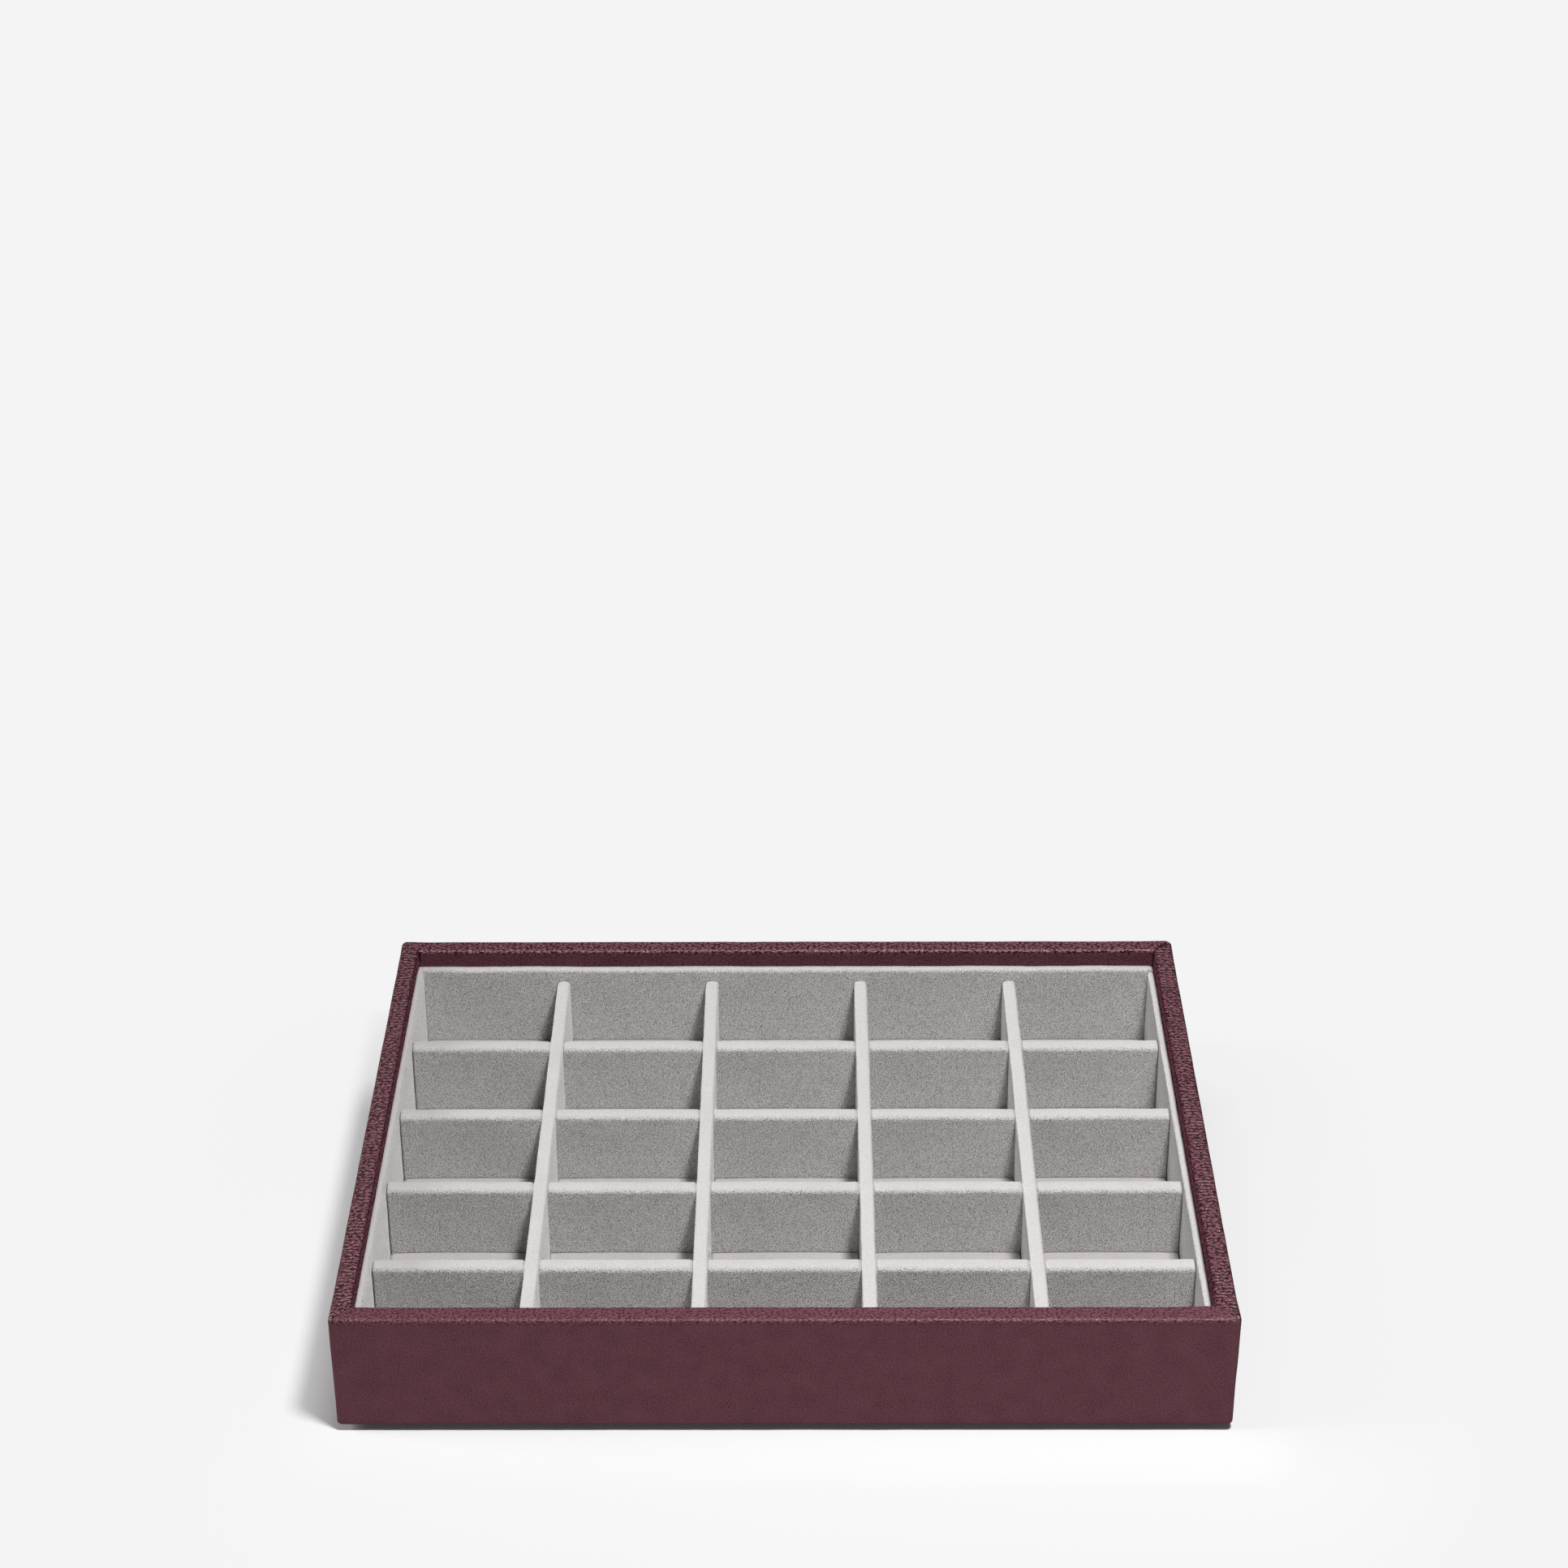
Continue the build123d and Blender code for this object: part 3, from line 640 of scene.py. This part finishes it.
# One closed strip round the tray: the section is carried along the four walls, and every row turns the
# corners as a rounded rectangle, so that the walls meet at the mitres.
def makeWrap():
    section = wrapSection()
    blocks, marks, wrapMaps, end = [], {"relief": [], "polish": [], "seamAndShade": [], "rowing": []}, [], 0.0
    for wall in wrapShape["walls"].values():
        points, wallMarks, wrapMap, end = wrapWall(wall, section, end)
        blocks.append(points[:, :-1])  # the last column is the next wall's first
        wrapMaps.append(wrapMap)
        for name, values in wallMarks.items():
            marks[name].append(values[:, :-1])
    points = np.concatenate(blocks, 1)
    faces = gridFaces(*points.shape[:2], closeRows=True, closeColumns=True)[:, ::-1]
    mesh = meshFrom("leatheretteWrap", points, faces)

    # UV in metres, along the strip and across it; each wall has its own, so the grain breaks at the mitres
    uv = np.concatenate([np.stack([w[:, :-1], w[:, 1:]], 2) for w in wrapMaps], 1) * mm
    below = np.concatenate([uv, uv[:1]], 0)[1:]
    faceCorners = np.stack([uv[:, :, 0], uv[:, :, 1], below[:, :, 1], below[:, :, 0]], 2)[:, :, ::-1]
    layer = mesh.uv_layers.new(name="wrap")
    layer.data.foreach_set("uv", faceCorners.reshape(-1).astype(np.float32))
    for name, values in marks.items():
        writeMark(mesh, name, np.concatenate(values, 1))
    finishPiece("leatheretteWrap", mesh, leatherette, "leatherette", "leatherette_cover")
    mesh.set_sharp_from_angle(angle=math.radians(60))
    print("wrap:", len(mesh.polygons), "faces")


makeWrap()


def thicken(piece, thickness):
    solid = piece.modifiers.new("velvetThickness", "SOLIDIFY")
    solid.thickness = thickness * mm
    solid.offset = -1
    solid.use_even_offset = True


# positions from start to end, about a step apart
def evenly(start, end, step):
    return np.linspace(start, end, int((end - start) / step) + 1)


longAcross = [share * innerWidth for share in (-0.308, -0.1027, 0.1027, 0.308)]
crossAlong = [share * innerDepth for share in (0.2914, 0.0825, -0.1264, -0.3353)]
sleeve = {
    # in mm; the dividers are halved into each other at the lap's height
    "thickness": 4.1, "bottom": 5.8, "hem": 0.15, "lap": 17.9, "top": 30.0, "slotGap": 0.05, "endGap": 0.1,
    "rowHeights": (9.0, 12.0, 15.0, 20.0, 22.5, 25.0, 27.0, 28.0),
    "step": 0.62, "nearCut": (0.0, -0.12, 0.12, -0.3, 0.3), "clearOfCut": 0.1,
    "longRound": (0.7, 0.7), "crossRound": (1.6, 0.5),  # shoulders on the left and right, or front and back
    # the velvet is loose from softUp on: its top and sides wander, and it gives way at crossings and ends
    "softUp": (20.0, 8.0), "unevenTop": 0.10, "topWaves": (60.0, 5.0),
    "unevenSide": 0.06, "sideWaves": (45.0, 6.0),
    "crossingBulge": 0.14, "bulgeLength": 2.6, "crossEndDrop": 0.55, "crossEndLength": 0.4,
    "endDrop": 0.2, "endLength": 0.8, "endRound": 0.8, "endRoundLength": 3.0,
    "leftReach": 0.45,  # the left liner is thinner than the right one, so what ends on it reaches further
    "longLift": -0.4,  # the long dividers' velvet is drawn a little lighter
}


# evenly spaced positions from start to end, with extra ones on each cut and close on both sides of it
def samples(start, end, step, cuts):
    base = evenly(start, end, step)
    extra = (np.array(cuts)[:, None] + np.array(sleeve["nearCut"])).ravel()
    base = base[np.min(np.abs(base[:, None] - extra[None, :]), 1) > sleeve["clearOfCut"]]
    both = np.concatenate([base, extra])
    return np.unique(np.round(both[(both >= start) & (both <= end)], 4))


# The section of a velvet fold, from its back or right foot to its front or left one: a leg up, a rounded
# shoulder, the top, and the same down again.
def sleeveSection(rounds):
    half, top = sleeve["thickness"] / 2, sleeve["top"]
    bottom = sleeve["bottom"]
    legs = np.sort([bottom, bottom + sleeve["hem"], sleeve["lap"], *sleeve["rowHeights"]])
    halves = []
    for radius in rounds:
        shoulder = arc((half - radius, top - radius), radius, 0, 90, 9)
        leg = np.stack([np.full(len(legs), half), legs], 1)
        halves.append(np.concatenate([leg, [[half, top - radius]], shoulder]))
    return np.concatenate([halves[1], [[0, top]], halves[0][::-1] * [-1, 1]])


# Velvet folded over a card: its section carried along the divider. The top moves by a ripple along the
# divider, and the sides by one over length and height. At the crossings bell curves drop the cross dividers'
# ends and widen the long dividers. Both ends round down, and cells inside the half-lap slots are left out.
def makeSleeve(name, alongX, centre, length, crossings, seed, node):
    shape = sleeve
    section = sleeveSection(shape["crossRound" if alongX else "longRound"])
    half = shape["thickness"] / 2
    slot = half + shape["slotGap"]
    cuts = sorted([c + e for c in crossings for e in (-slot, slot)])
    start = -length / 2 - (shape["leftReach"] if alongX else 0)
    along = samples(start, length / 2, shape["step"], cuts)
    u = np.broadcast_to(along, (len(section), len(along)))
    across, up = section[:, :1] + 0 * u, section[:, 1:] + 0 * u
    soft = fade(up, *shape["softUp"])
    nearest = np.min(np.abs(u[..., None] - np.array(crossings)), -1)
    if alongX:  # the cross dividers' tops stop at the long ones, with softened ends
        dropped = bell(nearest - slot, shape["crossEndLength"]) * (nearest > slot - 0.01)
        up = up - soft * shape["crossEndDrop"] * dropped
    else:  # the long dividers run on over them, a little fuller there
        across = across * (1 + shape["crossingBulge"] / half * bell(nearest, shape["bulgeLength"]) * soft)
    up = up + soft * shape["unevenTop"] * ripple(seed, u, 0 * u, *shape["topWaves"])
    across = across + soft * shape["unevenSide"] * ripple(seed + 1, u, up, *shape["sideWaves"])
    fromEnd = np.minimum(u - start, length / 2 - u)
    up = up - soft * shape["endDrop"] * (1 - fade(fromEnd, 0, shape["endLength"]))
    if not alongX:  # their ends are rounder than the rest
        towardsSide = (np.abs(across) / half) ** 3
        up = up - soft * shape["endRound"] * towardsSide * bell(fromEnd, shape["endRoundLength"])
    first, second = (u, across + centre) if alongX else (across + centre, u)
    points = np.stack([first, second, up], -1)

    middles = (along[1:] + along[:-1]) / 2
    inSlot = np.min(np.abs(middles[:, None] - np.array(crossings)), 1) < slot
    low = (section[1:, 1] + section[:-1, 1]) / 2 < shape["lap"]
    gone = inSlot[None, :] & (~low if alongX else low)[:, None]
    faces = gridFaces(*u.shape)[~gone.reshape(-1)]
    if alongX:
        faces = faces[:, ::-1]
    used = np.unique(faces)
    renumber = np.zeros(u.size, int)
    renumber[used] = np.arange(len(used))
    mesh = meshFrom(name, points.reshape(-1, 3)[used], renumber[faces])
    if not alongX:
        writeMark(mesh, "floorShadeLongLift", np.full(len(used), shape["longLift"]))
    thicken(finishPiece(name, mesh, velvet, "velvet", node), tray["velvet"])


for number, centre in enumerate(longAcross, 1):
    makeSleeve(f"longSleeve{number}", False, centre, innerDepth - 2 * sleeve["endGap"], crossAlong,
               10 * number, f"long_divider_velvet_{number}")
for number, centre in enumerate(crossAlong, 1):
    makeSleeve(f"crossSleeve{number}", True, centre, innerWidth - 2 * sleeve["endGap"], longAcross,
               100 + 10 * number, f"cross_divider_velvet_{number}")
print("sleeves:", len(longAcross) + len(crossAlong))


lining = {
    # in mm
    "bottom": 5.8, "hem": 0.15, "rowHeights": (9.0, 12.0, 15.0, 18.0, 21.0, 24.0, 27.0, 29.5),
    "underShoulder": 0.9, "wallGap": 0.12, "wallDrop": 0.02, "step": 0.7, "nearEnd": 0.15,
    # columns past a liner's corner, where its velvet runs on over the next liner's top, and how low it starts
    "pastCorner": (-0.3, -0.1, 0.05, 0.25, 0.6, 0.95, 1.25, 1.5, 1.7, 1.83, 1.92),
    "lapFrom": 32.4, "lapOver": 0.05,
    "softUp": (26.0, 6.0), "unevenTop": 0.12, "topWaves": (80.0, 6.0),
    "softIn": (0.3, 0.6), "unevenFace": 0.06, "faceWaves": (60.0, 8.0), "endRound": 2.2,
    "leftOut": 0.4,  # the left wall's lip stands this much further out
    "sides": {
        # round is the top edge's; overlap is how far a liner runs on over its neighbours' tops, and drop its
        # fall there
        "back": {"normal": (0, 1), "along": (-1, 0), "thickness": 2.1, "top": 34.1, "seed": 210,
                 "round": 1.3, "overlap": 1.95, "drop": 1.1},
        "front": {"normal": (0, -1), "along": (1, 0), "thickness": 2.1, "top": 34.1, "seed": 220,
                  "round": 1.9, "overlap": 1.95, "drop": 1.1},
        "left": {"normal": (-1, 0), "along": (0, -1), "thickness": 1.9, "top": 34.1, "seed": 230,
                 "round": 1.3, "overlap": 0.0, "drop": 0.0},
        "right": {"normal": (1, 0), "along": (0, 1), "thickness": 2.1, "top": 33.0, "seed": 240,
                  "round": 1.3, "overlap": 0.0, "drop": 0.0},
    },
}


# Columns of a liner, even along it. One that runs on over its neighbours has more past its ends, and the
# others have one close to each end.
def liningColumns(length, overlap):
    shape = lining
    columns = np.round(evenly(-length / 2, length / 2, shape["step"]), 4)
    if overlap:
        ends = length / 2 + np.array([*shape["pastCorner"], overlap])
    else:
        ends = np.array([length / 2 - shape["nearEnd"]])
    return np.unique(np.concatenate([columns, ends, -ends]))


# Velvet over a card against the wall: up its face, over a rounded shoulder and back to the wall, carried
# along it. Its top moves by a ripple along the wall and its face by one over length and height. Towards its
# ends the top drops along a quarter of a circle, and past them it lies on the neighbours' tops.
def makeLining(side, wallAt, length):
    shape, own = lining, lining["sides"][side]
    thick, top, radius, overlap = own["thickness"], own["top"], own["round"], own["overlap"]
    bottom, lapFrom = shape["bottom"], shape["lapFrom"]
    highest = top - radius - shape["underShoulder"]
    heights = np.array([bottom, bottom + shape["hem"], *shape["rowHeights"], highest])
    section = np.concatenate([
        np.stack([np.full(len(heights), thick), heights], 1), [[thick, top - radius]],
        arc((thick - radius, top - radius), radius, 0, 90, 11),
        [[shape["wallGap"], top - shape["wallDrop"]]]])
    along = liningColumns(length, overlap)
    u = np.broadcast_to(along, (len(section), len(along)))
    out, up = section[:, :1] + 0 * u, section[:, 1:] + 0 * u
    beyond = np.clip((np.abs(u) - length / 2) / shape["lapOver"], 0, 1)
    lapped = lapFrom + (up - bottom) / (top - bottom) * (top - lapFrom)
    up = up * (1 - beyond) + lapped * beyond
    soft = fade(up, *shape["softUp"])
    fromEnd = np.clip((length / 2 + overlap - np.abs(u)) / shape["endRound"], 0, 1)
    up = up - own["drop"] * soft * (1 - np.sqrt(1 - (1 - fromEnd) ** 2))
    up = up + soft * shape["unevenTop"] * ripple(own["seed"], u, 0 * u, *shape["topWaves"])
    faceRipple = ripple(own["seed"] + 1, u, up, *shape["faceWaves"])
    out = out + fade(out, *shape["softIn"]) * shape["unevenFace"] * faceRipple
    normal, sideways = np.array(own["normal"]), np.array(own["along"])
    middle = np.array([-sleeve["leftReach"] / 2 * abs(sideways[0]), 0])
    plan = middle + (wallAt - out)[..., None] * normal + u[..., None] * sideways
    points = np.concatenate([plan, up[..., None]], -1)
    faces = gridFaces(*u.shape)
    if normal[0] * sideways[1] - normal[1] * sideways[0] > 0:
        faces = faces[:, ::-1]
    mesh = meshFrom(f"{side}Lining", points, faces)
    piece = finishPiece(f"{side}Lining", mesh, velvet, "velvet", f"{side}_liner_velvet")
    thicken(piece, tray["velvet"])


sideWall = tray["width"] / 2 - tray["wall"]
endWall = tray["depth"] / 2 - tray["wall"]
makeLining("back", endWall, innerWidth + sleeve["leftReach"])
makeLining("front", endWall, innerWidth + sleeve["leftReach"])
makeLining("left", sideWall + lining["leftOut"], 2 * endWall)
makeLining("right", sideWall, 2 * endWall)
print("linings:", len(lining["sides"]))


pad = {
    # in mm: levels of the pinched velvet and the foam's underside, and the crown's height over the velvet's
    "pinched": 5.8, "foamBottom": 4.7, "crown": 1.3, "foamGap": 0.02, "width": 239.4, "depth": 169.4,
    "tuck": 0.4,
    # across and from front to back: each arch starts this share up, and flattens with this power
    "edgeShares": (0.7, 0.88), "powers": (2.6, 3.0),
    "columnCrownShares": (1.0, 1.0, 1.0, 1.0, 1.0), "rowCrownShares": (1.0, 1.0, 1.0, 0.85, 0.7),
    "puckers": 0.05, "puckerWaves": (40.0, 6.0), "puckerUp": (0.0, 0.6), "fill": 0.35,
    "step": 1.25, "foamStep": 3.0, "nearWall": (0.0, 0.2, 0.4, 0.65), "fromWall": 0.9,
}


# the lower and upper ends of the gaps between dividers at centres, from one liner to the other
def spans(centres, inner):
    half = sleeve["thickness"] / 2
    ordered = sorted(centres)
    lows = [-inner / 2] + [c + half for c in ordered]
    highs = [c - half for c in ordered] + [inner / 2]
    return list(zip(lows, highs))


# grid lines of the pad along one direction: close together at the edges of every compartment
def padLines(gaps, total, step):
    near, clear = np.array(pad["nearWall"]), pad["fromWall"]
    lines = [np.array([-total / 2, total / 2])]
    for low, high in gaps:
        inside = np.linspace(low + clear, high - clear, max(2, int((high - low) / step)))
        lines.append(np.concatenate([low + near, inside, high - near]))
    return np.unique(np.round(np.concatenate(lines), 4))


# An arch along one direction in each gap: one minus a power of the distance from its middle, as a share,
# which starts part way up and ends in a narrow tuck along the foot of the walls.
def arches(values, gaps, power, lowest, heights):
    result = np.zeros_like(values)
    for (low, high), height in zip(gaps, heights):
        half = (high - low) / 2
        share = np.abs(values - (low + high) / 2) / half
        tucked = fade((1 - share) * half, 0, pad["tuck"])
        arch = lowest + (1 - lowest) * (1 - np.clip(share, 0, 1) ** power)
        result = np.where(share < 0.9999, height * tucked * arch, result)
    return result


# height over the pinched level: in each compartment an arch across its width times one along its depth
def swelling(x, y):
    (acrossPower, alongPower), (acrossEdge, alongEdge) = pad["powers"], pad["edgeShares"]
    across = arches(x, spans(longAcross, innerWidth), acrossPower, acrossEdge, pad["columnCrownShares"])
    return pad["crown"] * across * arches(y, spans(crossAlong, innerDepth), alongPower, alongEdge,
                                          pad["rowCrownShares"])


# A closed block: a grid of the pad's height above and its underside below, joined all round. The height is
# the swelling with slight puckers, a ripple that fades in with the swelling.
def makePad(name, step, top, bottom, material, slotName, node):
    xs = padLines(spans(longAcross, innerWidth), pad["width"], step)
    ys = padLines(spans(crossAlong, innerDepth), pad["depth"], step)
    y, x = np.meshgrid(ys, xs, indexing="ij")
    swell = swelling(x, y)
    puckers = pad["puckers"] * ripple(7, x, y, *pad["puckerWaves"]) * fade(swell, *pad["puckerUp"])
    upper = np.stack([x, y, top + swell + puckers], -1)
    under = np.stack([x, y, bottom(swell + puckers)], -1)
    rows, columns = x.shape
    count = rows * columns
    faces = gridFaces(rows, columns)
    border = np.concatenate([np.arange(columns), np.arange(1, rows) * columns + columns - 1,
                             (rows - 1) * columns + np.arange(columns - 2, -1, -1),
                             np.arange(rows - 2, 0, -1) * columns])
    after = np.roll(border, -1)
    edge = np.stack([border + count, after + count, after, border], 1)
    points = np.concatenate([upper.reshape(-1, 3), under.reshape(-1, 3)])
    mesh = meshFrom(name, points, np.concatenate([faces, faces[:, ::-1] + count, edge]))
    # painted shade: the floor pad's velvet is drawn darker
    if material is velvet:
        writeMark(mesh, "floorShadeLongLift", np.ones(len(points)))
    finishPiece(name, mesh, material, slotName, node)


makePad("floorPadVelvet", pad["step"], pad["pinched"], lambda swell: pad["pinched"] - tray["velvet"] + swell,
        velvet, "velvet", "floor_velvet")
makePad("floorPadFoam", pad["foamStep"], pad["pinched"] - tray["velvet"] - pad["foamGap"],
        lambda swell: pad["foamBottom"] + 0 * swell, fibrous["softFoam"], "foam", "floor_foam")
print("floor pad: velvet over foam")


# the boards, cards and felt keep the CAD's shapes and get their finishes here
finishes = {"fibreboard": "rawFibreboard", "greyboard": "greyPaperboard", "felt": "needleFelt"}
for part in frame["record"]["subparts"]:
    name = finishes.get(part["material_slot"])
    # painted shade: the plinth sits in the dark gap under the walls and is drawn near-black
    if part["node"] == "plinth_board":
        name = "shadeDarkFibreboard"
    if name:
        mesh = frame["nodes"][part["node"]].data
        mesh.materials.clear()
        mesh.materials.append(fibrous[name])
print("boards: finishes given")
